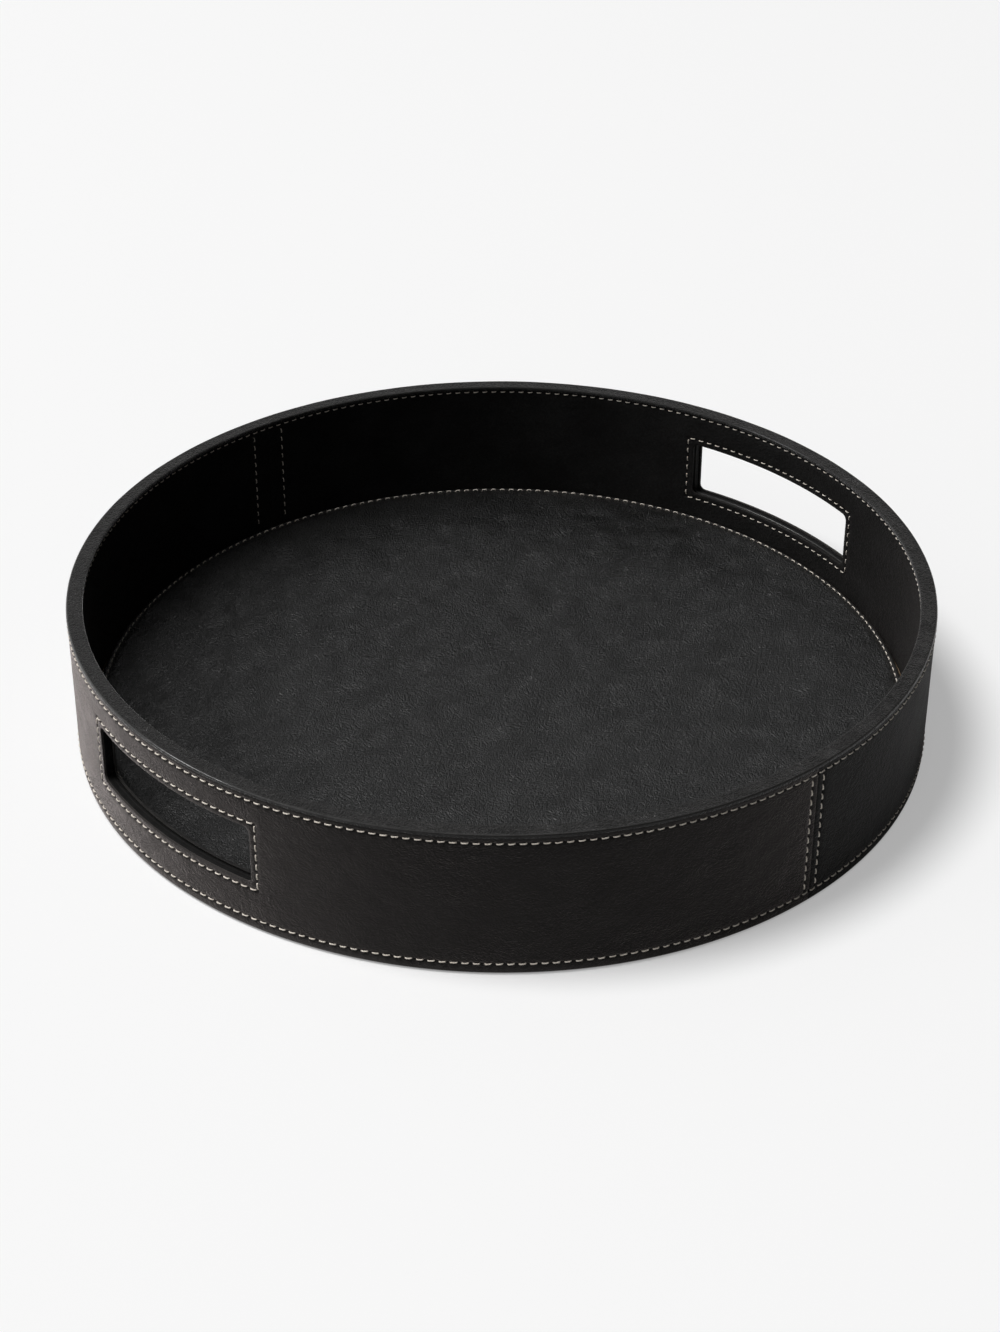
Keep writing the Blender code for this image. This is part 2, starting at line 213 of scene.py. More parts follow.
def wave(azimuth, reach, height, length, seed):
    """Slow swell of a surface, about -0.7 to 0.7, at each point."""
    shift = Vector((seed, 2 * seed, -seed))
    points = around(azimuth, reach, height).reshape(-1, 3)
    swell = [noise.noise(Vector(point) / length + shift) for point in points]
    return np.array(swell).reshape(height.shape)


def arc(centre, radius, start, end, steps):
    """Points of a profile's arc, both ends included. Degrees run from the outward radius to +Z."""
    angles = np.radians(np.linspace(start, end, steps + 1))
    return [(centre[0] + radius * cos(angle), centre[1] + radius * sin(angle)) for angle in angles]


def leather_mesh(name, verts, faces, wear):
    """Smooth mesh of the points that its faces use, with how polished each point is."""
    used, index = np.unique(np.concatenate(faces), return_inverse=True)
    ends = np.cumsum([len(face) for face in faces])[:-1]
    corners = [face.tolist() for face in np.split(index, ends)]
    mesh = bpy.data.meshes.new(name)
    mesh.from_pydata(verts[used].tolist(), [], corners)
    polish = mesh.attributes.new("wear", "FLOAT", "POINT").data
    polish.foreach_set("value", wear.ravel()[used].astype(np.float32))
    mesh.shade_smooth()
    return mesh


def face_outwards(mesh):
    """Point the faces of a closed mesh outwards."""
    bm = bmesh.new()
    bm.from_mesh(mesh)
    bmesh.ops.recalc_face_normals(bm, faces=bm.faces)
    bm.to_mesh(mesh)
    bm.free()
    return mesh


def ring_faces(rings, steps, closed):
    """Faces between rings of as many points each, and from the last ring to the first if closed."""
    faces = []
    for i in range(rings if closed else rings - 1):
        below = (i + 1) % rings
        for j in range(steps):
            k = (j + 1) % steps
            faces.append((i * steps + j, below * steps + j, below * steps + k, i * steps + k))
    return faces


def put_in_scene(name, data):
    obj = bpy.data.objects.new(name, data)
    bpy.context.scene.collection.objects.link(obj)
    return obj


def add_piece(mesh, material, nodes):
    """Put a finished mesh on the tray, in the place of the plain solids that it stands for."""
    obj = put_in_scene(mesh.name, mesh)
    mesh.materials.clear()
    mesh.materials.append(material)
    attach(obj, "root")
    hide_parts(*nodes)
    return obj


# Relief of stitched leather


def edge_fall(distance):
    """How far leather sinks towards a cut edge that is this far off."""
    return -EDGE_DROP * np.clip(1 - np.maximum(distance, 0) / EDGE_ROLL, 0, 1) ** 2


def row_mark(across, stitches):
    """Groove under a row, with a pit at each needle hole, where the stitches passed are whole."""
    to_hole = (0.5 - np.abs(stitches % 1.0 - 0.5)) * STITCH_PITCH
    pit = PIT_DEPTH * bell(to_hole, PIT_LENGTH) * bell(across, PIT_WIDTH)
    return -GROOVE_DEPTH * bell(across, GROOVE_WIDTH) - pit


def round_mark(across, azimuth, count):
    """Marks of a row round the tray, whose first stitch is centred on azimuth 0."""
    return row_mark(across, azimuth / tau * count + 0.5)


def slot_distance(sideways, height):
    """Distance outside the slot's rounded outline, negative inside."""
    past_end = np.abs(sideways) - (SLOT_HALF_LENGTH - SLOT_CORNER)
    past_side = np.abs(height - SLOT_CENTRE) - (SLOT_HALF_HEIGHT - SLOT_CORNER)
    outside = np.hypot(np.maximum(past_end, 0), np.maximum(past_side, 0))
    return outside + np.minimum(np.maximum(past_end, past_side), 0) - SLOT_CORNER


def frame_mark(sideways, height):
    """Marks of the stitched frame round a slot."""
    rise = height - SLOT_CENTRE
    from_side = np.abs(rise) - FRAME_HALF_HEIGHT
    from_end = np.abs(sideways) - FRAME_HALF_LENGTH
    long_across = np.hypot(from_side, np.maximum(from_end, 0))
    long_passed = (sideways / FRAME_HALF_LENGTH + 1) / 2 * FRAME_STITCHES_LONG
    short_across = np.hypot(from_end, np.maximum(from_side, 0))
    short_passed = (rise / FRAME_HALF_HEIGHT + 1) / 2 * FRAME_STITCHES_SHORT
    return np.minimum(row_mark(long_across, long_passed), row_mark(short_across, short_passed))


def seam_mark(from_seam, height, offset, low, high, count):
    """Marks of the upright rows beside a seam."""
    past = np.maximum(np.maximum(low - height, height - high), 0)
    passed = (height - low) / (high - low) * count
    return row_mark(np.hypot(from_seam - offset, past), passed)


def wall_relief(wall, azimuth, height, sideways, from_seam):
    """How far the leather stands off one side of the wall."""
    falls = [PANEL_TOP - height, np.abs(slot_distance(sideways, height)), from_seam]
    marks = [round_mark(height - row, azimuth, wall.row_stitches) for row in wall.rows]
    marks.append(frame_mark(sideways, height))
    marks.append(seam_mark(from_seam, height, *wall.seam_rows))
    return np.min([edge_fall(fall) for fall in falls], 0) + np.min(marks, 0)


# Grid lines of the wall's leather, closer together at its edges, its slot and its rows

ROW_LINES = (-0.95 * MM, -0.45 * MM, 0, 0.45 * MM, 0.95 * MM)
EDGE_LINES = (0, 0.35 * MM, 0.8 * MM, 1.5 * MM)
CORNER_SHARES = (1, 0.75, 0.5, 0.25)
LEAST_SPACING = 0.3 * MM


def slot_lines(half):
    """Distances from the slot's middle of the grid lines round one of its sides."""
    lines = [half - SLOT_CORNER * share for share in CORNER_SHARES]
    lines += [half + step for step in EDGE_LINES]
    lines += [half + FRAME_MARGIN + step for step in ROW_LINES[1:]]
    return lines + [-line for line in lines]


def merged_lines(lattice, special, least):
    """All the special lines that differ, and the lattice lines that keep clear of them."""
    lines = []
    for value in sorted(special):
        if not lines or value - lines[-1] > least / 2:
            lines.append(value)
    lines = np.array(lines)
    kept = [value for value in lattice if np.abs(lines - value).min() > least]
    return np.array(sorted([*kept, *lines]))


def wall_azimuths(wall, start, end):
    step = tau / wall.row_stitches / 3
    first = np.ceil(start / step - 0.5)
    lattice = (np.arange(first, end / step - 0.5) + 0.5) * step
    lattice = lattice[(lattice > start) & (lattice < end)]
    beside = [*EDGE_LINES, *(wall.seam_rows[0] + line for line in ROW_LINES)]
    special = [start + line / wall.radius for line in beside]
    special += [end - line / wall.radius for line in beside]
    special += [float(np.arcsin(line / wall.radius)) for line in slot_lines(SLOT_HALF_LENGTH)]
    return merged_lines(lattice, special, LEAST_SPACING / wall.radius)


def wall_heights(wall):
    """From the top of the leather down to the end of its upright part."""
    stitches = OUTSIDE.seam_rows[-1]
    step = (RIM_ROW_OUTSIDE - BASE_ROW - 2 * ROW_END_GAP) / stitches / 3
    lattice = np.arange(BASE_ROW + ROW_END_GAP, PANEL_TOP, step)
    special = [PANEL_TOP - line for line in EDGE_LINES]
    special += [row + line for row in wall.rows for line in ROW_LINES]
    special += [SLOT_CENTRE + line for line in slot_lines(SLOT_HALF_HEIGHT)]
    special = [wall.low, *(value for value in special if wall.low < value <= PANEL_TOP)]
    return merged_lines(lattice[lattice > wall.low], special, LEAST_SPACING)[::-1]


# Wall leather


def wall_panel(name, wall, start, azimuths, foot, seed, turn):
    """Half of the leather on one side of the wall, with its slot cut out.

    foot carries the panel on below the wall, as (radius, height, outward, upward) rows.
    """
    radius = wall.radius
    rows = [(radius, height, float(wall.side), 0.0) for height in wall_heights(wall)] + foot
    columns = [np.array(column) for column in zip(*rows)]
    azimuth, reach = np.meshgrid(azimuths, columns[0])
    height, outward, upward = (np.repeat(c[:, None], len(azimuths), 1) for c in columns[1:])
    on_wall = upward == 0
    sideways = np.where(np.cos(azimuth) > 0, radius * np.sin(azimuth), 1.0)

    def middle(grid):
        return (grid[1:, 1:] + grid[:-1, :-1]) / 2

    hole = slot_distance(middle(sideways), middle(height)) < 0
    cells = np.pad(hole, 1).astype(int)
    touching = cells[1:, 1:] + cells[:-1, 1:] + cells[1:, :-1] + cells[:-1, :-1]
    # Points of the hole's corners move onto the slot's round corners
    for i, j in zip(*np.nonzero((touching > 0) & (touching < 4))):
        centre_y = np.sign(sideways[i, j]) * (SLOT_HALF_LENGTH - SLOT_CORNER)
        rise = height[i, j] - SLOT_CENTRE
        centre_z = np.sign(rise) * (SLOT_HALF_HEIGHT - SLOT_CORNER)
        if abs(sideways[i, j]) > abs(centre_y) and abs(rise) > abs(centre_z):
            spoke = Vector((sideways[i, j] - centre_y, rise - centre_z)).normalized() * SLOT_CORNER
            sideways[i, j] = centre_y + spoke.x
            height[i, j] = SLOT_CENTRE + centre_z + spoke.y
            azimuth[i, j] = np.arcsin(sideways[i, j] / radius)

    from_seam = radius * np.minimum(azimuth - start, start + pi - azimuth)
    relief = wall_relief(wall, azimuth, height, sideways, from_seam)
    relief += LEATHER_WAVE * wave(azimuth, reach, height, WAVE_LENGTH, seed)
    reach = reach + outward * np.where(on_wall, relief, 0.0)
    verts = turn_points(around(azimuth, reach, height).reshape(-1, 3), turn)

    # Polish along the slot, the foot and the top: it waxes these edges and lightens their colour,
    # partly wear and partly a painted highlight where the cut edges would stay dark.
    from_slot = np.abs(slot_distance(sideways, height))
    slot_edge = 0.35 * np.exp(-from_slot / SLOT_POLISH) + 0.65 * bell(from_slot, SLOT_LINE)
    foot_edge = np.exp(-np.abs(height - TURN_IN_RISE - FOOT_ROUND / 2) / FOOT_POLISH)
    top_edge = np.exp(-(PANEL_TOP - height) / TOP_POLISH)
    wear = np.max([slot_edge, foot_edge, 0.6 * top_edge], 0)

    count = len(azimuths)
    faces = []
    for i, j in zip(*np.nonzero(~hole)):
        corner = i * count + j
        quad = (corner, corner + count, corner + count + 1, corner + 1)
        faces.append(quad if wall.side > 0 else quad[::-1])
    return leather_mesh(name, verts, faces, wear)


def give_thickness(obj):
    """Turn a face of leather into a strip of it, with burnished round edges."""
    shell = obj.modifiers.new("thickness", "SOLIDIFY")
    shell.thickness = LEATHER
    shell.offset = -1
    bevel = obj.modifiers.new("burnished_edges", "BEVEL")
    bevel.width = EDGE_BEVEL
    bevel.segments = 2
    bevel.limit_method = "ANGLE"
    bevel.angle_limit = radians(60)


def turned_in_foot():
    """Rows of the outer leather round the wall's foot and in under the board."""
    centre = OUTER_FACE - FOOT_ROUND
    rows = []
    for angle in np.radians(np.linspace(0, -90, 7)[1:]):
        height = TURN_IN_RISE + FOOT_ROUND + FOOT_ROUND * sin(angle)
        rows.append((centre + FOOT_ROUND * cos(angle), height, cos(angle), sin(angle)))
    for reach in np.linspace(centre, TURN_IN_EDGE, 6)[1:]:
        rows.append((reach, TURN_IN_RISE, 0.0, -1.0))
    return rows


def wall_panels(wall, foot, leathers):
    """Both halves of the leather on one side of the wall, each with the finish given for its hand;
    outside, the right half's finish is a darker copy of the left's, as painted shade.
    """
    half_gap = SEAM_GAP / 2 / wall.radius
    start = wall.seam + half_gap
    azimuths = wall_azimuths(wall, start, wall.seam + pi - half_gap)
    for step, (hand, turn) in enumerate(HANDS):
        name = f"{wall.face}_leather_{hand}"
        mesh = wall_panel(name, wall, start, azimuths, foot, wall.wave_seed + step, turn)
        nodes = [f"{wall.face}_panel_{hand}"]
        give_thickness(add_piece(mesh, leathers[hand], nodes))


# Turned pieces


def turned(name, profile, steps, relief=None, wear=None):
    """Turn a profile of (radius, height) points round the axis, closed on itself or on the axis."""
    profile = np.array(profile)
    on_axis = profile[0, 0] == 0
    ring = profile[1:-1] if on_axis else profile
    azimuth, reach = np.meshgrid(np.arange(steps) * tau / steps, ring[:, 0])
    height = np.repeat(ring[:, 1][:, None], steps, 1)
    if relief is not None:
        reach, height = relief(azimuth, reach, height)
    verts = around(azimuth, reach, height).reshape(-1, 3)
    worn = np.zeros(height.shape) if wear is None else wear(reach, height)
    faces = ring_faces(len(ring), steps, not on_axis)
    if on_axis:
        centre = len(verts)
        last_ring = centre - steps
        verts = np.vstack([verts, (0, 0, profile[0, 1]), (0, 0, profile[-1, 1])])
        worn = np.append(worn, (0, 0))
        for j in range(steps):
            k = (j + 1) % steps
            faces.append((centre, j, k))
            faces.append((centre + 1, last_ring + k, last_ring + j))
    return face_outwards(leather_mesh(name, verts, faces, worn))


def rim_binding(leather):
    """Strip folded over the wall's edge: a flat top between two tight corners."""
    middle = (RIM_RADIUS + RIM_INNER) / 2
    low_edge = (RIM_RADIUS - RIM_UNDERCUT, RIM_SEAT + RIM_UNDERCUT)
    high_edge = (RIM_RADIUS - RIM_CORNER, HEIGHT - RIM_CORNER)
    outer_side = [
        (HOOP_OUTER, RIM_SEAT),
        *arc(low_edge, RIM_UNDERCUT, -90, 0, 4),
        *arc(high_edge, RIM_CORNER, 0, 90, 8),
        (high_edge[0] - RIM_CORNER, HEIGHT),
        (high_edge[0] - 3 * RIM_CORNER, HEIGHT - RIM_HOLLOW),
    ]
    inner_side = [(2 * middle - reach, height) for reach, height in reversed(outer_side)]
    inner_side[-1] = (HOOP_INNER, RIM_SEAT)
    legs = [
        (HOOP_INNER, LEG_FOOT),
        (HOOP_INNER + BINDING_LEATHER, LEG_FOOT),
        (HOOP_INNER + BINDING_LEATHER, TONGUE_CREST),
        (HOOP_OUTER - BINDING_LEATHER, TONGUE_CREST),
        (HOOP_OUTER - BINDING_LEATHER, LEG_FOOT),
        (HOOP_OUTER, LEG_FOOT),
    ]

    def folded(height):
        return np.clip((height - RIM_SEAT) / (HEIGHT - RIM_SEAT), 0, 1)

    def sag(azimuth, reach, height):
        swell = wave(azimuth, reach, height, RIM_WAVE_LENGTH, RIM_WAVE_SEED)
        drop = RIM_WAVE * folded(height) * (swell + 0.8)
        return reach - np.sign(reach - middle) * drop, height - drop

    def polish(reach, height):
        corner = RIM_RADIUS - 0.4 * RIM_CORNER - middle
        # Wax along the rim's corners, more on the outer one; the lighter colour it brings is partly
        # a painted highlight line.
        handled = np.where(reach > middle, OUTER_CORNER_POLISH, INNER_CORNER_POLISH)
        line = bell(np.abs(reach - middle) - corner, RIM_LINE)
        return folded(height) * (0.1 + handled * line)

    profile = outer_side + [(middle, HEIGHT - RIM_HOLLOW)] + inner_side + legs
    mesh = turned("rim_binding_leather", profile, 720, sag, polish)
    add_piece(mesh, leather, ["rim_binding"])


def floor_insert(leather):
    """Floor leather, pulled down by its row of stitches and drawn over the stiffener's edge."""
    centre = (FLOOR_ROW_RADIUS, FLOOR_ROW_HEIGHT - FLOOR_ROUND)
    flat_rings = [*np.arange(8, 176, 8), 181, 184.5]
    row_rings = [FLOOR_ROW_RADIUS + line for line in ROW_LINES[:2]]
    profile = [
        (0, FLOOR_TOP),
        *((reach * MM, FLOOR_TOP) for reach in flat_rings),
        (SERVING_RADIUS, FLOOR_TOP),
        *((reach, FLOOR_ROW_HEIGHT) for reach in row_rings),
        *arc(centre, FLOOR_ROUND, 90, 0, 10),
        (FLOOR_EDGE, FLOOR_LIP_UNDER),
        (FLOOR_LIP_EDGE, FLOOR_LIP_UNDER),
        (FLOOR_LIP_EDGE, FLOOR_LIP_UNDER + LEATHER),
        (FLOOR_EDGE - LEATHER, FLOOR_LIP_UNDER + LEATHER),
        *arc(centre, FLOOR_ROUND - LEATHER, 0, 90, 3),
        (0, FLOOR_ROW_HEIGHT - LEATHER),
    ]

    def press(azimuth, reach, height):
        on_top = height > FLOOR_ROW_HEIGHT - 0.5 * MM
        mark = round_mark(reach - FLOOR_ROW_RADIUS, azimuth, FLOOR_STITCHES)
        swell = wave(azimuth, reach, height, FLOOR_WAVE_LENGTH, FLOOR_WAVE_SEED)
        swell = FLOOR_WAVE * (swell - 0.6) * np.clip((FLOOR_EDGE - reach) / (6 * MM), 0, 1)
        return reach, height + np.where(on_top, mark + swell, 0.0)

    def polish(reach, height):
        return bell(reach - FLOOR_EDGE + FLOOR_ROUND / 2, 2 * MM)

    mesh = turned("floor_leather", profile, 2 * FLOOR_STITCHES, press, polish)
    add_piece(mesh, leather, ["floor_panel"])


def base_felt(felt):
    edge = COVER_RADIUS - COVER_ROUND
    profile = [
        (0, 0),
        *((edge * share, 0) for share in (0.25, 0.5, 0.75, 0.95)),
        *arc((edge, COVER_ROUND), COVER_ROUND, -90, 0, 4),
        *arc((edge, COVER_THICKNESS - COVER_ROUND), COVER_ROUND, 0, 90, 4),
        (0, COVER_THICKNESS),
    ]
    mesh = turned("base_felt", profile, 240)
    add_piece(mesh, felt, ["underside_cover"])


# Handle linings


def slot_outline(growth, corner_steps, run_steps):
    """Rounded outline of the slot, grown all round, as (sideways, height) points."""
    corner = SLOT_CORNER + growth
    reach = SLOT_HALF_LENGTH - SLOT_CORNER
    rise = SLOT_HALF_HEIGHT - SLOT_CORNER
    points = []
    for sideways, upward, start in ((1, 1, 0), (-1, 1, 90), (-1, -1, 180), (1, -1, 270)):
        centre = (sideways * reach, SLOT_CENTRE + upward * rise)
        points += arc(centre, corner, start, start + 90, corner_steps)
        if sideways == upward:
            for step in range(1, run_steps):
                y = centre[0] - sideways * 2 * reach * step / run_steps
                points.append((y, points[-1][1]))
    return points


def handle_linings(leather):
    """Strips inside the slots, each with its outer part folded down over its inner part."""
    depth = HOOP_OUTER - HOOP_INNER
    sections = []
    for share, back in LINING_SECTION:
        sections.append((HOOP_INNER + share * depth, LINING_SETBACK + LINING_SWELL * back))
    back = LINING_SETBACK + LINING
    sections += [(HOOP_OUTER, back), (HOOP_INNER, back)]
    verts = []
    for radius, growth in sections:
        outline = slot_outline(growth, 6, 60)
        verts += [(sqrt(radius**2 - y**2), y, z) for y, z in outline]
    shares = np.array([(radius - HOOP_INNER) / depth for radius, _ in sections])
    wear = np.repeat(bell(shares - FOLD_SHARE, FOLD_LINE), len(outline))
    faces = ring_faces(len(sections), len(outline), True)
    for hand, turn in HANDS:
        points = turn_points(np.array(verts), turn)
        mesh = face_outwards(leather_mesh("handle_edge_" + hand, points, faces, wear))
        mesh.set_sharp_from_angle(angle=radians(50))
        add_piece(mesh, leather, ["handle_lining_" + hand])


# Nodes


def make_node(tree, kind, inputs=None, **settings):
    """Add a node: inputs hold values or the sockets to link from, by name or by number."""
    node = tree.nodes.new(kind)
    for key, value in settings.items():
        setattr(node, key, value)
    for key, value in (inputs or {}).items():
        if isinstance(value, bpy.types.NodeSocket):
            tree.links.new(value, node.inputs[key])
        else:
            node.inputs[key].default_value = value
    return node


def result_of(tree, kind, inputs=None, **settings):
    """Add a node and give its first output."""
    return make_node(tree, kind, inputs, **settings).outputs[0]


def math_of(tree, operation, *values):
    return result_of(tree, "ShaderNodeMath", dict(enumerate(values)), operation=operation)


def remap(tree, value, low, high, to_low=0.0, to_high=1.0):
    inputs = {0: value, 1: low, 2: high, 3: to_low, 4: to_high}
    return result_of(tree, "ShaderNodeMapRange", inputs, interpolation_type="SMOOTHSTEP")


def noise_of(tree, place, scale, detail, distortion=0.0):
    inputs = {"Vector": place, "Scale": scale, "Detail": detail, "Distortion": distortion}
    return result_of(tree, "ShaderNodeTexNoise", inputs)


def blend(tree, share, first, second):
    """Mix two colours."""
    inputs = {0: share, 6: first, 7: second}
    return make_node(tree, "ShaderNodeMix", inputs, data_type="RGBA").outputs[2]


# Stitches


def stitch_sizes(length, width, height):
    """Sizes of the stitches. Only the seed of their small differences is a whole number."""
    return {
        "Stitch Length": length,
        "Thread Width": width,
        "Thread Height": height,
        "Rise": 0.20 * MM,
        "Bite": 0.75 * MM,
        "Slant": radians(5),
        "Slant Spread": radians(2.5),
        "Length Spread": 0.05,
        "Ply Turns": 1.5,
        "Seed": 4,
    }


def stitch_tree(thread):
    """Tree that sews a stitch over each pitch of its guide lines, across the leather's normal."""
    tree = bpy.data.node_groups.new("saddle_stitches", "GeometryNodeTree")
    tree.interface.new_socket("Guides", in_out="INPUT", socket_type="NodeSocketGeometry")
    for name, value in stitch_sizes(*OUTSIDE.stitch).items():
        kind = "NodeSocketInt" if isinstance(value, int) else "NodeSocketFloat"
        tree.interface.new_socket(name, in_out="INPUT", socket_type=kind)
    tree.interface.new_socket("Stitches", in_out="OUTPUT", socket_type="NodeSocketGeometry")
    given = make_node(tree, "NodeGroupInput").outputs
    result = partial(result_of, tree)
    math = partial(math_of, tree)

    def attribute(name, kind):
        return result("GeometryNodeInputNamedAttribute", {"Name": name}, data_type=kind)

    # One stitch, along X: a twisted thread, flat on the leather, that dives into a hole at each end
    half = math("MULTIPLY", given["Stitch Length"], 0.5)
    straight = result("GeometryNodeCurvePrimitiveLine")
    line = result("GeometryNodeResampleCurve", {"Curve": straight, "Count": 10})
    passed = make_node(tree, "GeometryNodeSplineParameter").outputs["Factor"]
    swing = math("SINE", math("MULTIPLY", math("SUBTRACT", passed, 0.5), pi))
    from_middle = math("ABSOLUTE", swing)
    dive = math("SQRT", math("SUBTRACT", 1.0, math("POWER", from_middle, 8.0)))
    lift = math("MULTIPLY", dive, math("ADD", given["Bite"], given["Rise"]))
    place = {0: math("MULTIPLY", half, swing), 2: math("SUBTRACT", lift, given["Bite"])}
    path = result("ShaderNodeCombineXYZ", place)
    bent = result("GeometryNodeSetPosition", {"Geometry": line, "Position": path})
    twist = math("MULTIPLY", passed, math("MULTIPLY", given["Ply Turns"], tau))
    tilted = result("GeometryNodeSetCurveTilt", {"Curve": bent, "Tilt": twist})
    taper = math("SUBTRACT", 1.0, math("MULTIPLY", math("POWER", from_middle, 6.0), 0.35))
    tapered = result("GeometryNodeSetCurveRadius", {"Curve": tilted, "Radius": taper})
    half_width = math("MULTIPLY", given["Thread Width"], 0.5)
    furrow = math("MULTIPLY", half_width, 0.86)
    star = {"Points": 3, "Inner Radius": furrow, "Outer Radius": half_width}
    plies = result("GeometryNodeCurveStar", star)
    swept = {"Curve": tapered, "Profile Curve": plies, "Fill Caps": True}
    thread_mesh = result("GeometryNodeCurveToMesh", swept)
    flatness = math("DIVIDE", given["Thread Height"], given["Thread Width"])
    flat = result("ShaderNodeCombineXYZ", {0: 1.0, 1: 1.0, 2: flatness})
    stitch = result("GeometryNodeTransform", {"Geometry": thread_mesh, "Scale": flat})

    # Where the stitches go: whole pitches along each guide, from its first stitch's centre
    guides = result("GeometryNodeMeshToCurve", {"Mesh": given["Guides"]})
    length = make_node(tree, "GeometryNodeSplineLength").outputs["Length"]
    whole = math("ROUND", math("DIVIDE", length, attribute("pitch", "FLOAT")))
    ring = result("GeometryNodeInputSplineCyclic")
    count = math("ADD", whole, math("SUBTRACT", 1.0, ring))
    centres = result("GeometryNodeResampleCurve", {"Curve": guides, "Count": count}, mode="COUNT")
    normal = attribute("leather_normal", "FLOAT_VECTOR")
    tangent = result("GeometryNodeInputTangent")
    upright = result("FunctionNodeAlignRotationToVector", {"Vector": normal}, axis="Z")
    aim = {"Rotation": upright, "Vector": tangent}
    along = result("FunctionNodeAlignRotationToVector", aim, axis="X", pivot_axis="Z")

    def spread(size, step):
        """Random number for each stitch, between minus its size and its size."""
        seed = math("ADD", given["Seed"], step)
        inputs = {2: math("MULTIPLY", size, -1.0), 3: size, "Seed": seed}
        return make_node(tree, "FunctionNodeRandomValue", inputs, data_type="FLOAT").outputs[1]

    lean = math("ADD", given["Slant"], spread(given["Slant Spread"], 0))
    turn = {"Rotation": along, "Rotate By": result("ShaderNodeCombineXYZ", {2: lean})}
    leaning = result("FunctionNodeRotateRotation", turn, rotation_space="LOCAL")
    stretch = math("ADD", 1.0, spread(given["Length Spread"], 1))
    scale = result("ShaderNodeCombineXYZ", {0: stretch, 1: 1.0, 2: 1.0})
    laid = {"Points": centres, "Instance": stitch, "Rotation": leaning, "Scale": scale}
    sewn = result("GeometryNodeInstanceOnPoints", laid)
    smooth = result("GeometryNodeSetShadeSmooth", {"Geometry": sewn})
    real = result("GeometryNodeRealizeInstances", {"Geometry": smooth})
    finish = result("GeometryNodeSetMaterial", {"Geometry": real, "Material": thread})
    make_node(tree, "NodeGroupOutput", {"Stitches": finish})
    return tree


def sew(tree, thread, wall, name, runs, nodes):
    """Sew runs of one wall's stitches as a piece. A run is (points, normals, closed, pitch)."""
    edges = []
    pitches = []
    for points, _, closed, pitch in runs:
        first = len(pitches)
        pitches += [pitch] * len(points)
        last = len(pitches) - 1
        edges += [(i, i + 1) for i in range(first, last)]
        if closed:
            edges.append((last, first))
    verts = np.concatenate([run[0] for run in runs]).tolist()
    normals = np.concatenate([run[1] for run in runs]).ravel().tolist()
    guide_mesh = bpy.data.meshes.new(name + "_guides")
    guide_mesh.from_pydata(verts, edges, [])
    attributes = guide_mesh.attributes
    attributes.new("leather_normal", "FLOAT_VECTOR", "POINT").data.foreach_set("vector", normals)
    attributes.new("pitch", "FLOAT", "POINT").data.foreach_set("value", pitches)
    guide = put_in_scene(name + "_guides", guide_mesh)
    modifier = guide.modifiers.new("stitches", "NODES")
    modifier.node_group = tree
    sockets = {item.name: item.identifier for item in tree.interface.items_tree}
    for size, value in stitch_sizes(*wall.stitch).items():
        modifier[sockets[size]] = value
    bpy.context.view_layer.update()
    evaluated = guide.evaluated_get(bpy.context.evaluated_depsgraph_get())
    mesh = bpy.data.meshes.new_from_object(evaluated)
    mesh.name = name
    bpy.data.objects.remove(guide)
    add_piece(mesh, thread, nodes)


def round_run(radius, height, side, count):
    """Guide of a row round the tray: side is 1 outside the wall, -1 inside it and 0 on the floor."""
    angles = np.arange(720) * tau / 720
    points = around(angles, radius, height)
    normals = around(angles, side, 0.0 if side else 1.0)
    length = np.linalg.norm(points - np.roll(points, 1, 0), axis=1).sum()
    return points, normals, True, length / count


def wall_run(outline, wall, turn, count):
    """Guide of stitches along (sideways, height) points on the wall, turned round the axis."""
    angles = np.array([np.arcsin(y / wall.radius) for y, _ in outline]) + turn
    points = around(angles, wall.radius, np.array([z for _, z in outline]))
    length = np.linalg.norm(points[1:] - points[:-1], axis=1).sum()
    return points, around(angles, wall.side, 0.0), False, length / (count - 1)


def frame_runs(wall, turn):
    """Four guides of a slot's frame, each from its first stitch's centre to its last one's."""
    first_long = FRAME_HALF_LENGTH * (1 - 1 / FRAME_STITCHES_LONG)
    first_short = FRAME_HALF_HEIGHT * (1 - 1 / FRAME_STITCHES_SHORT)
    across = np.linspace(-1, 1, 41)
    runs = []
    for sign in (1, -1):
        rise = sign * FRAME_HALF_HEIGHT
        level = [(-sign * y * first_long, SLOT_CENTRE + rise) for y in across]
        end = -sign * FRAME_HALF_LENGTH
        upright = [(end, SLOT_CENTRE - sign * z * first_short) for z in across]
        runs.append(wall_run(level, wall, turn, FRAME_STITCHES_LONG))
        runs.append(wall_run(upright, wall, turn, FRAME_STITCHES_SHORT))
    return runs


def seam_runs(wall, azimuth):
    """Two guides of the upright rows beside a seam."""
    offset, low, high, count = wall.seam_rows
    inset = (high - low) / count / 2
    outline = [(0.0, low + inset), (0.0, high - inset)]
    turns = [azimuth + sign * offset / wall.radius for sign in (-1, 1)]
    return [wall_run(outline, wall, turn, count) for turn in turns]


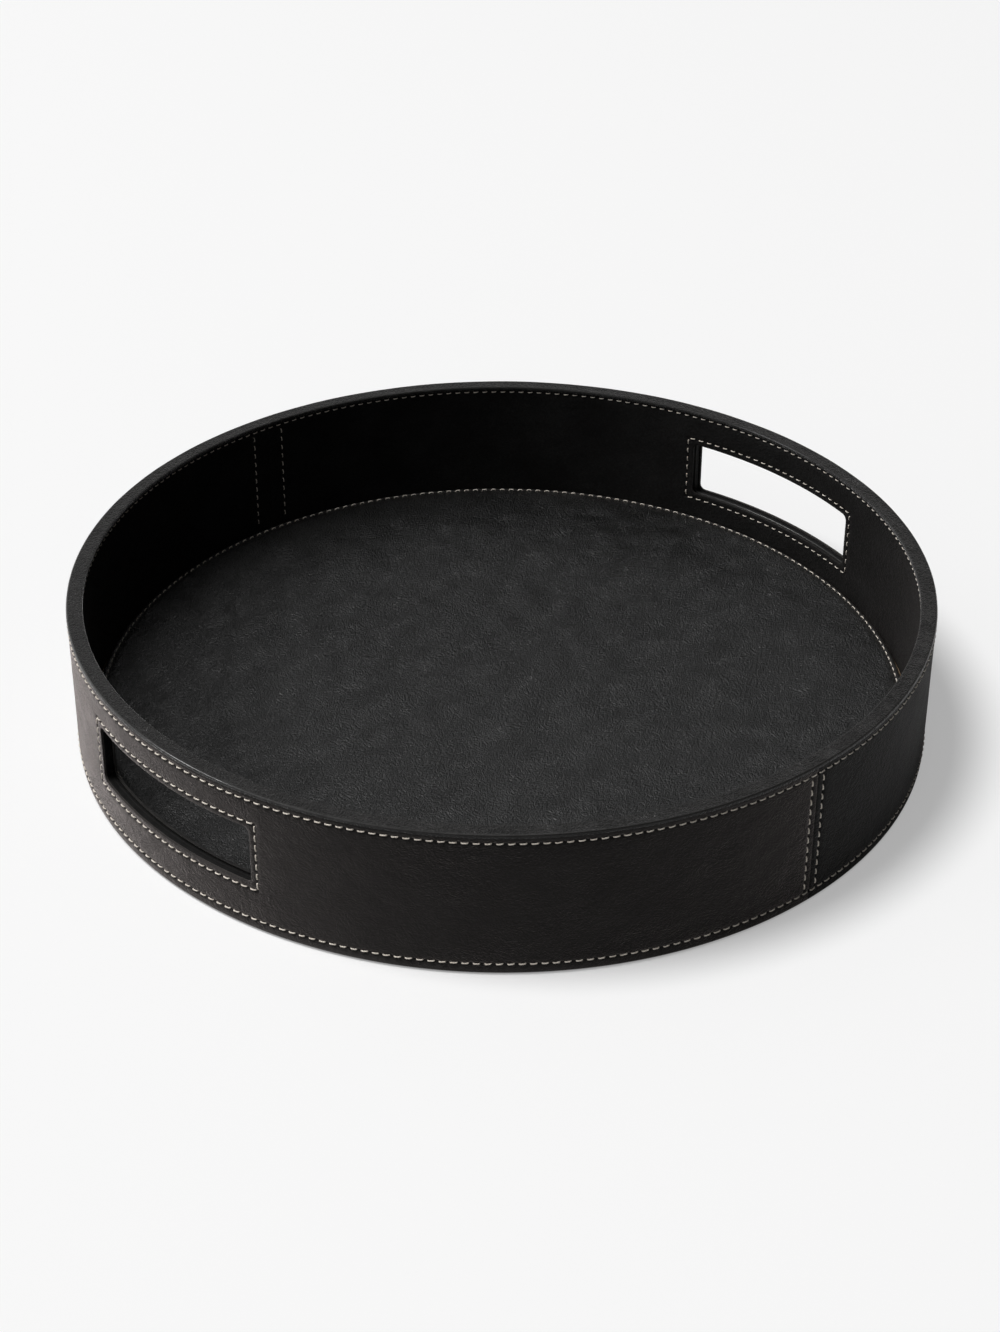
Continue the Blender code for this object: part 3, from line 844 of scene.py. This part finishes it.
def all_stitches(tree, thread):
    sew_on = partial(sew, tree, thread)
    for wall in (OUTSIDE, INSIDE):
        run = round_run(wall.radius, wall.rows[0], wall.side, wall.row_stitches)
        sew_on(wall, "rim_stitches_" + wall.face, [run], ["rim_thread_" + wall.face])
    run = round_run(OUTER_FACE, BASE_ROW, 1, OUTSIDE.row_stitches)
    sew_on(OUTSIDE, "base_stitches", [run], ["base_thread"])
    run = round_run(FLOOR_ROW_RADIUS, FLOOR_ROW_HEIGHT, 0, FLOOR_STITCHES)
    sew_on(INSIDE, "floor_stitches", [run], ["floor_thread"])
    for wall in (OUTSIDE, INSIDE):
        for hand, turn in HANDS:
            slot = f"{wall.face}_{hand}"
            runs = frame_runs(wall, turn)
            sew_on(wall, "handle_stitches_" + slot, runs, ["handle_thread_" + slot])
    for wall in (OUTSIDE, INSIDE):
        for end, turn in (("front", 0.0), ("back", pi)):
            seam = f"{wall.face}_{end}"
            runs = seam_runs(wall, wall.seam + turn)
            nodes = [f"seam_thread_{seam}_{row}" for row in "ab"]
            sew_on(wall, "seam_stitches_" + seam, runs, nodes)


# Finishes


def new_group(name, inputs, outputs):
    """Shader group with named sockets, of numbers apart from its place on the piece."""
    group = bpy.data.node_groups.new(name, "ShaderNodeTree")
    group.interface.new_socket("Vector", in_out="INPUT", socket_type="NodeSocketVector")
    for socket in inputs:
        group.interface.new_socket(socket, in_out="INPUT", socket_type="NodeSocketFloat")
    for socket in outputs:
        group.interface.new_socket(socket, in_out="OUTPUT", socket_type="NodeSocketFloat")
    return group, make_node(group, "NodeGroupInput").outputs


def pebbled_grain():
    """Grain of full leather: fine pebbles parted by creases, crossed by a few longer wrinkles."""
    inputs = ("Pebbles per Metre", "Wrinkles")
    group, given = new_group("pebbled_grain", inputs, ("Height", "Creases"))
    math = partial(math_of, group)

    def shift(operation, inputs):
        return result_of(group, "ShaderNodeVectorMath", inputs, operation=operation)

    def warped(vector, scale, reach):
        """Places on the piece, swirled to and fro."""
        inputs = {"Vector": vector, "Scale": scale, "Detail": 1.0}
        swirl = make_node(group, "ShaderNodeTexNoise", inputs).outputs["Color"]
        centred = shift("SUBTRACT", {0: swirl, 1: (0.5, 0.5, 0.5)})
        return shift("ADD", {0: vector, 1: shift("SCALE", {0: centred, "Scale": reach})})

    def creased(vector, scale, width):
        """Thin lines, 1 along the middle of each, where a noise crosses its own middle."""
        pattern = noise_of(group, vector, scale, 1.5)
        off = math("ABSOLUTE", math("SUBTRACT", pattern, 0.5))
        return remap(group, off, 0.0, width, 1.0, 0.0)

    size = given["Pebbles per Metre"]
    swirled = warped(given["Vector"], 60.0, 10 * MM)
    skin = warped(swirled, 420.0, 1.6 * MM)
    folds = creased(swirled, math("MULTIPLY", size, 0.42), 0.13)
    creases = creased(skin, math("MULTIPLY", size, 0.95), 0.14)
    domes = result_of(group, "ShaderNodeTexVoronoi", {"Vector": skin, "Scale": size}, feature="F1")
    fine = noise_of(group, skin, math("MULTIPLY", size, 2.4), 2.0)
    folds = math("MULTIPLY", folds, given["Wrinkles"])
    height = math("MULTIPLY", domes, -0.45)
    height = math("MULTIPLY_ADD", fine, 0.30, height)
    height = math("MULTIPLY_ADD", creases, -0.45, height)
    height = math("SUBTRACT", height, folds)
    creases = math("MAXIMUM", creases, folds)
    make_node(group, "NodeGroupOutput", {"Height": height, "Creases": creases})
    return group


def dye_drift():
    """Slow change of tone over a hide, between 0 and 1, with a finer mottle in it."""
    group, given = new_group("dye_drift", ("Patches per Metre",), ("Tone",))
    size = given["Patches per Metre"]
    patches = noise_of(group, given["Vector"], size, 4.0)
    mottle = noise_of(group, given["Vector"], math_of(group, "MULTIPLY", size, 14.0), 2.0)
    broad = math_of(group, "MULTIPLY", patches, 0.65)
    mixed = math_of(group, "MULTIPLY_ADD", mottle, 0.35, broad)
    make_node(group, "NodeGroupOutput", {"Tone": remap(group, mixed, 0.34, 0.66)})
    return group


def handled_edges():
    """Rubbed places, whose lighter colour is partly wear and partly a painted highlight: where the
    wear painted on a piece meets a broken noise.
    """
    group, given = new_group("handled_edges", ("Wear", "Amount"), ("Mask",))
    broken = remap(group, noise_of(group, given["Vector"], 260.0, 5.0), 0.30, 0.70, 0.55, 1.0)
    rubbed = math_of(group, "MULTIPLY", given["Wear"], broken)
    mask = math_of(group, "MULTIPLY", rubbed, given["Amount"])
    make_node(group, "NodeGroupOutput", {"Mask": mask})
    return group


def new_finish(name, specular, roughness=0.5):
    material = bpy.data.materials.new(name)
    material.use_nodes = True
    tree = material.node_tree
    shader = tree.nodes["Principled BSDF"]
    shader.inputs["Specular IOR Level"].default_value = specular
    shader.inputs["Roughness"].default_value = roughness
    place = make_node(tree, "ShaderNodeTexCoord").outputs["Object"]
    return material, tree, shader, place


def mottled(tree, pattern, dark, pale):
    """Colour that runs from dark to pale with a pattern."""
    return blend(tree, remap(tree, pattern, 0.3, 0.7), dark, pale)


def give_relief(tree, shader, strength, depth, height):
    inputs = {"Strength": strength, "Distance": depth, "Height": height}
    tree.links.new(result_of(tree, "ShaderNodeBump", inputs), shader.inputs["Normal"])


def give_sheen(shader, weight, roughness, tint=(1.0, 1.0, 1.0)):
    shader.inputs["Sheen Weight"].default_value = weight
    shader.inputs["Sheen Roughness"].default_value = roughness
    shader.inputs["Sheen Tint"].default_value = (*tint, 1)


def leather_finish(name, groups, look):
    """Black leather. look holds its tones, roughness, grain, wax and sheen."""
    material, tree, shader, place = new_finish(name, look["specular"])
    place = result_of(tree, "ShaderNodeMapping", {"Vector": place, "Scale": look["stretch"]})
    math = partial(math_of, tree)

    def effect(kind, inputs):
        inputs = {"Vector": place, **inputs}
        return make_node(tree, "ShaderNodeGroup", inputs, node_tree=groups[kind]).outputs

    grain = effect("grain", {"Pebbles per Metre": look["pebbles"], "Wrinkles": look["wrinkles"]})
    tone = effect("drift", {"Patches per Metre": look["patches"]})["Tone"]
    wear = make_node(tree, "ShaderNodeAttribute", attribute_name="wear").outputs["Fac"]
    rubbed = effect("wear", {"Wear": wear, "Amount": look["rubbing"]})["Mask"]

    colour = blend(tree, tone, (*look["deep"], 1), (*look["pale"], 1))
    # Creases get a darker colour: a painted shade in them.
    shadowed = math("MULTIPLY", grain["Creases"], look["crease_shade_share"])
    colour = blend(tree, shadowed, colour, (*look["crease_shade"], 1))
    # Rubbed edges get a lighter colour: partly real wear, partly a painted highlight on edges that
    # the light leaves dark.
    colour = blend(tree, rubbed, colour, (*look["rubbed"], 1))
    tree.links.new(colour, shader.inputs["Base Color"])

    rough = remap(tree, tone, 0.0, 1.0, look["roughness"] - 0.04, look["roughness"] + 0.05)
    rough = math("MULTIPLY_ADD", grain["Creases"], 0.12, rough)
    rough = math("MULTIPLY_ADD", rubbed, -0.18, rough)
    tree.links.new(rough, shader.inputs["Roughness"])

    # The grain lies flatter where the hide is pulled tight and where hands have rubbed it
    slack = remap(tree, noise_of(tree, place, 17.0, 1.0), 0.38, 0.62, look["calm"], 1.0)
    height = math("MULTIPLY", grain["Height"], remap(tree, rubbed, 0.1, 0.8, 1.0, 0.1))
    height = math("MULTIPLY", height, slack)
    height = math("MULTIPLY_ADD", noise_of(tree, place, 75.0, 1.5), look["swell"], height)
    give_relief(tree, shader, look["bump"], look["grain_depth"], height)

    tree.links.new(math("MULTIPLY", rubbed, look["wax"]), shader.inputs["Coat Weight"])
    shader.inputs["Coat Roughness"].default_value = 0.14
    give_sheen(shader, look["sheen"], look["sheen_roughness"], look["sheen_tint"])
    return material


def leather_looks():
    """Looks of the tray's leathers, each a change from the wall's."""
    wall = dict(
        deep=(0.0074, 0.0072, 0.0071),
        pale=(0.0158, 0.0153, 0.0150),
        crease_shade=(0.0050, 0.0047, 0.0045),
        rubbed=(0.0400, 0.0370, 0.0345),
        crease_shade_share=0.6,
        rubbing=0.60,
        roughness=0.60,
        specular=0.055,
        pebbles=780.0,
        wrinkles=0.45,
        patches=45.0,
        bump=0.8,
        grain_depth=0.28 * MM,
        calm=0.5,
        swell=2.2,
        stretch=(1.0, 1.0, 1.3),
        wax=0.5,
        sheen=0.54,
        sheen_roughness=0.44,
        sheen_tint=(1.0, 0.90, 0.87),
    )
    # The left outer half keeps the wall's look, with its pinkish sheen, for the lit side; the right
    # half is a darker copy with less and neutral sheen, a painted shade for the side away from the
    # light.
    shaded_right_wall = dict(wall, sheen=0.22, sheen_tint=(1.0, 0.98, 0.97))
    shaded_right_wall.update(deep=(0.0070, 0.0070, 0.0069), pale=(0.0148, 0.0147, 0.0145))
    lining = dict(wall, rubbing=0.4, specular=0.10, sheen=0.03)
    lining.update(deep=(0.0080, 0.0079, 0.0079), pale=(0.0165, 0.0164, 0.0163))
    tight = dict(wall, bump=1.0, swell=0.0, stretch=(1.0, 1.0, 1.0))
    floor = dict(tight, roughness=0.30, specular=0.82, wax=0.0, sheen=0.0, calm=0.9)
    floor.update(deep=(0.0060, 0.0060, 0.0060), pale=(0.0098, 0.0098, 0.0097))
    floor.update(pebbles=980.0, wrinkles=0.35, patches=5.0, grain_depth=0.36 * MM)
    rim = dict(tight, roughness=0.40, specular=0.22, rubbing=1.0, wax=0.9, calm=1.0)
    rim.update(deep=(0.0040, 0.0040, 0.0039), pale=(0.0130, 0.0128, 0.0125))
    rim.update(rubbed=(0.016, 0.015, 0.014), sheen_roughness=0.36, sheen_tint=(1.0, 0.98, 0.97))
    rim.update(pebbles=900.0, wrinkles=0.3, patches=160.0, grain_depth=0.35 * MM)
    edge = dict(rim, specular=0.12, sheen=0.02, bump=0.3, wrinkles=0.1)
    return dict(wall=wall, shaded_right_wall=shaded_right_wall, lining=lining, floor=floor, rim=rim, edge=edge)


def thread_finish():
    """Waxed beige thread, darker where its fine bump sinks, with a few soiled patches."""
    material, tree, shader, place = new_finish("waxed_thread", 0.4)
    fibres = noise_of(tree, place, 2600.0, 3.0)
    patches = noise_of(tree, place, 120.0, 2.0)
    colour = mottled(tree, fibres, (0.70, 0.63, 0.55, 1), (0.95, 0.89, 0.80, 1))
    soiled = remap(tree, patches, 0.35, 0.8, 0.0, 0.35)
    colour = blend(tree, soiled, colour, (0.60, 0.52, 0.43, 1))
    tree.links.new(colour, shader.inputs["Base Color"])
    tree.links.new(remap(tree, fibres, 0.2, 0.8, 0.48, 0.70), shader.inputs["Roughness"])
    give_relief(tree, shader, 0.25, 0.06 * MM, fibres)
    return material


def felt_finish():
    material, tree, shader, place = new_finish("black_felt", 0.1, 0.95)
    fuzz = noise_of(tree, place, 1500.0, 6.0, 0.6)
    colour = mottled(tree, fuzz, (0.006, 0.006, 0.007, 1), (0.022, 0.022, 0.024, 1))
    tree.links.new(colour, shader.inputs["Base Color"])
    give_relief(tree, shader, 0.8, 0.3 * MM, fuzz)
    give_sheen(shader, 0.25, 0.6)
    return material


def board_finish(name, deep, pale, stretch):
    """Raw board or ply: long fibres, drawn out by the stretch of its pattern."""
    material, tree, shader, place = new_finish(name, 0.3, 0.72)
    drawn = result_of(tree, "ShaderNodeMapping", {"Vector": place, "Scale": stretch})
    fibres = noise_of(tree, drawn, 40.0, 8.0, 0.8)
    colour = mottled(tree, fibres, (*deep, 1), (*pale, 1))
    tree.links.new(colour, shader.inputs["Base Color"])
    give_relief(tree, shader, 0.3, 0.2 * MM, fibres)
    return material


def finish_hidden_frame():
    """Give the board, hoop and stiffener under the leather their own raw finishes."""
    for node, *look in (
        ("wall_hoop", "bent_plywood", (0.30, 0.19, 0.10), (0.56, 0.40, 0.24), (1.0, 1.0, 9.0)),
        ("base_board", "fibreboard", (0.24, 0.16, 0.09), (0.42, 0.30, 0.19), (3.0, 3.0, 3.0)),
        ("floor_stiffener", "grey_card", (0.16, 0.16, 0.15), (0.32, 0.31, 0.29), (6.0, 6.0, 6.0)),
    ):
        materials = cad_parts[node].data.materials
        materials.clear()
        materials.append(board_finish(*look))


# Stage, lights and camera. Directions are in the camera's own frame, which looks along +Y.

PHOTO_TURN = radians(-43.55)
CAMERA_REACH = 1.270
CAMERA_RISE = radians(33.897)
CAMERA_DIP = radians(33.028)
CAMERA_YAW = radians(-0.038)
CAMERA_ROLL = radians(0.233)
FOCAL_LENGTH = 71.864
STAGE_REACH = 9.0
STAGE_TONE = (0.60, 0.60, 0.60, 1)
STAGE_GLOW = 0.375
BACKGROUND = 0.93
SOFT_SHARE = 0.20
BRIGHT_SIDE = 1.0
DIM_SIDE = 0.06
FRONT_FILL = 0.25
ABOVE = (0.0, 0.40, 0.917)
ABOVE_SPAN = (0.815, 0.905)
ACROSS = (1.0, 0.0, 0.0)
ACROSS_SPAN = (0.04, 0.36)
BESIDE = (-0.90, 0.10, 0.43)
FRONT = (-0.55, -0.74, 0.40)
WIDE_SPAN = (0.2, 0.95)
LAMP_DISTANCE = 12.0
WHITE = (1, 1, 1, 1)


def from_photo(direction):
    """Turn a direction of the camera's own frame into the part's frame."""
    return Matrix.Rotation(PHOTO_TURN, 3, "Z") @ Vector(direction)


def seen_straight(tree):
    """Whether a ray sees the pale background itself, and whether it is one of a shine."""
    path = make_node(tree, "ShaderNodeLightPath").outputs
    seen = math_of(tree, "MAXIMUM", path["Is Camera Ray"], path["Is Transmission Ray"])
    return seen, path["Is Glossy Ray"]


def build_stage():
    """Pale floor that keeps the tray's shadow, and glows a little from the tray's edge outwards; the
    glow is left out under the tray, a painted shade beneath its foot.
    """
    mesh = bpy.data.meshes.new("floor_of_the_stage")
    far = STAGE_REACH
    corners = [(-far, -far, 0), (far, -far, 0), (far, far, 0), (-far, far, 0)]
    mesh.from_pydata(corners, [], [(0, 1, 2, 3)])
    material = bpy.data.materials.new("pale_floor")
    material.use_nodes = True
    tree = material.node_tree
    tree.nodes.remove(tree.nodes["Principled BSDF"])
    matt = result_of(tree, "ShaderNodeBsdfDiffuse", {"Color": STAGE_TONE})
    place = make_node(tree, "ShaderNodeTexCoord").outputs["Object"]
    out = make_node(tree, "ShaderNodeVectorMath", {0: place}, operation="LENGTH").outputs["Value"]
    # The glow fades out from the tray's edge inwards, so the floor under the foot stays dark: a
    # painted shade.
    strength = remap(tree, out, RIM_RADIUS - 4 * MM, RIM_RADIUS, 0.0, STAGE_GLOW)
    glow = result_of(tree, "ShaderNodeEmission", {"Color": WHITE, "Strength": strength})
    lit = result_of(tree, "ShaderNodeAddShader", {0: matt, 1: glow})
    mixed = result_of(tree, "ShaderNodeMixShader", {0: seen_straight(tree)[0], 1: matt, 2: lit})
    tree.links.new(mixed, tree.nodes["Material Output"].inputs["Surface"])
    mesh.materials.append(material)
    floor = put_in_scene("floor_of_the_stage", mesh)


def build_room():
    """Plain pale surround, lit mostly from above, from the left and from the front."""
    world = bpy.data.worlds.new("studio")
    bpy.context.scene.world = world
    world.use_nodes = True
    tree = world.node_tree
    tree.nodes.clear()
    seen, shine = seen_straight(tree)
    towards = make_node(tree, "ShaderNodeTexCoord").outputs["Generated"]
    math = partial(math_of, tree)

    def facing(direction):
        inputs = {0: towards, 1: from_photo(direction)}
        node = make_node(tree, "ShaderNodeVectorMath", inputs, operation="DOT_PRODUCT")
        return node.outputs["Value"]

    above = remap(tree, facing(ABOVE), *ABOVE_SPAN, DIM_SIDE, BRIGHT_SIDE)
    aside = remap(tree, math("ABSOLUTE", facing(ACROSS)), *ACROSS_SPAN, 1.0, DIM_SIDE)
    beside = remap(tree, facing(BESIDE), *WIDE_SPAN, 0.0, BRIGHT_SIDE)
    strength = math("MAXIMUM", math("MULTIPLY", above, aside), beside)
    share = math("MULTIPLY_ADD", shine, 1 - SOFT_SHARE, SOFT_SHARE)
    strength = math("MULTIPLY", strength, share)
    front = remap(tree, facing(FRONT), *WIDE_SPAN, 0.0, FRONT_FILL)
    strength = math("MULTIPLY_ADD", front, math("SUBTRACT", 1.0, shine), strength)
    room = result_of(tree, "ShaderNodeBackground", {"Color": WHITE, "Strength": strength})
    pale = result_of(tree, "ShaderNodeBackground", {"Color": WHITE, "Strength": BACKGROUND})
    whole = result_of(tree, "ShaderNodeMixShader", {0: seen, 1: room, 2: pale})
    make_node(tree, "ShaderNodeOutputWorld", {"Surface": whole})


def add_lamp(name, direction, size, power):
    """Round soft lamp that faces the tray from this direction."""
    data = bpy.data.lights.new(name, "AREA")
    data.shape = "DISK"
    data.size = size
    data.energy = power
    lamp = put_in_scene(name, data)
    towards = from_photo(direction).normalized()
    lamp.location = towards * LAMP_DISTANCE
    lamp.rotation_euler = towards.to_track_quat("Z", "Y").to_euler()
    return lamp


def build_lights():
    """Soft light from above, and a low one on the left that only shines in the polished edges."""
    soft_box = add_lamp("soft_box", (-0.381, -0.022, 1.0), size=4.8, power=1205)
    soft_box.visible_glossy = False
    gleam = add_lamp("gleam", (-0.80, 0.0, 0.60), size=4.0, power=560)
    gleam.visible_diffuse = False


def build_camera():
    data = bpy.data.cameras.new("camera")
    data.lens = FOCAL_LENGTH
    data.sensor_width = 36
    data.clip_start = 0.05
    data.clip_end = 50
    ahead = cos(CAMERA_DIP)
    forward = Vector((sin(CAMERA_YAW) * ahead, cos(CAMERA_YAW) * ahead, -sin(CAMERA_DIP)))
    level = forward.cross(Vector((0, 0, 1))).normalized()
    above = level.cross(forward)
    right = level * cos(CAMERA_ROLL) + above * sin(CAMERA_ROLL)
    up = right.cross(forward)
    axes = Matrix([from_photo(right), from_photo(up), from_photo(-forward)]).transposed()
    position = Vector((0, -CAMERA_REACH * cos(CAMERA_RISE), CAMERA_REACH * sin(CAMERA_RISE)))
    camera = put_in_scene("camera", data)
    camera.matrix_world = Matrix.Translation(from_photo(position)) @ axes.to_4x4()
    bpy.context.scene.camera = camera


def main():
    groups = {"grain": pebbled_grain(), "drift": dye_drift(), "wear": handled_edges()}
    leathers = {}
    for kind, look in leather_looks().items():
        leathers[kind] = leather_finish(kind + "_leather", groups, look)
    thread = thread_finish()

    # The right outer half takes the darker copy of the wall's finish, as painted shade.
    lit_and_shaded_hides = {"left": leathers["wall"], "right": leathers["shaded_right_wall"]}
    linings = {"left": leathers["lining"], "right": leathers["lining"]}
    wall_panels(OUTSIDE, turned_in_foot(), lit_and_shaded_hides)
    wall_panels(INSIDE, [], linings)
    rim_binding(leathers["rim"])
    floor_insert(leathers["floor"])
    handle_linings(leathers["edge"])
    base_felt(felt_finish())
    all_stitches(stitch_tree(thread), thread)
    finish_hidden_frame()

    build_stage()
    build_room()
    build_lights()
    build_camera()
    bpy.context.scene.view_settings.view_transform = "Standard"


main()
